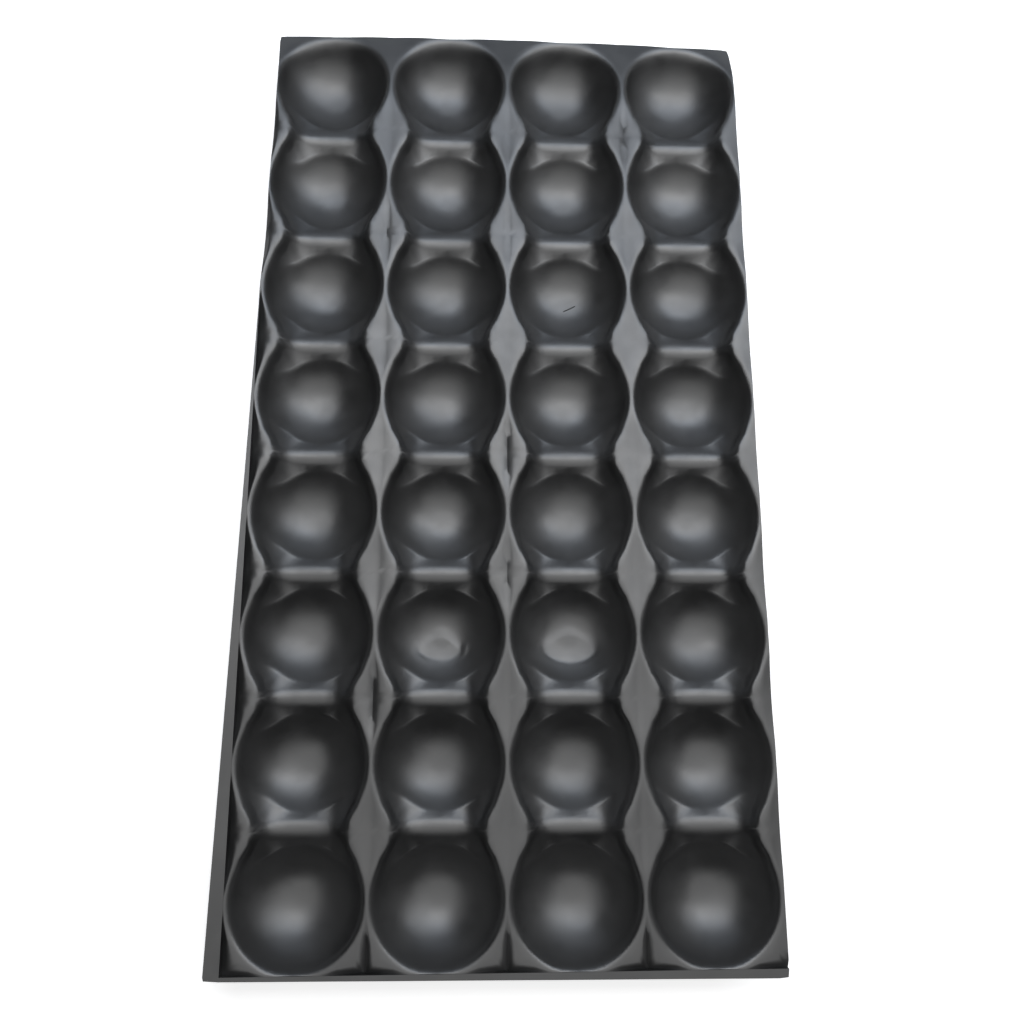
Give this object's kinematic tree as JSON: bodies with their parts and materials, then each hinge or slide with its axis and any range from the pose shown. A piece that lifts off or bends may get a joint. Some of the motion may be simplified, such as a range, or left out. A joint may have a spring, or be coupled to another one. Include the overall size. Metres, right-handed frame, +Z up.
{
  "type": "produce tray",
  "caption": "Shallow black formed-plastic liner tray with a grid of round bowls that run into each other along the columns, to keep fruit apart in a crate.",
  "frame": {"origin": "middle of the footprint, on the plane that the bowls' feet stand on", "axes": "+Z up, out of the bowls; +Y along the columns, away from the camera; +X to the right"},
  "size_m": [0.2967, 0.5498, 0.0272],
  "materials": {
    "sheet": "satin"
  },
  "bodies": {
    "root": {"tray": "sheet"}
  },
  "joints": []
}
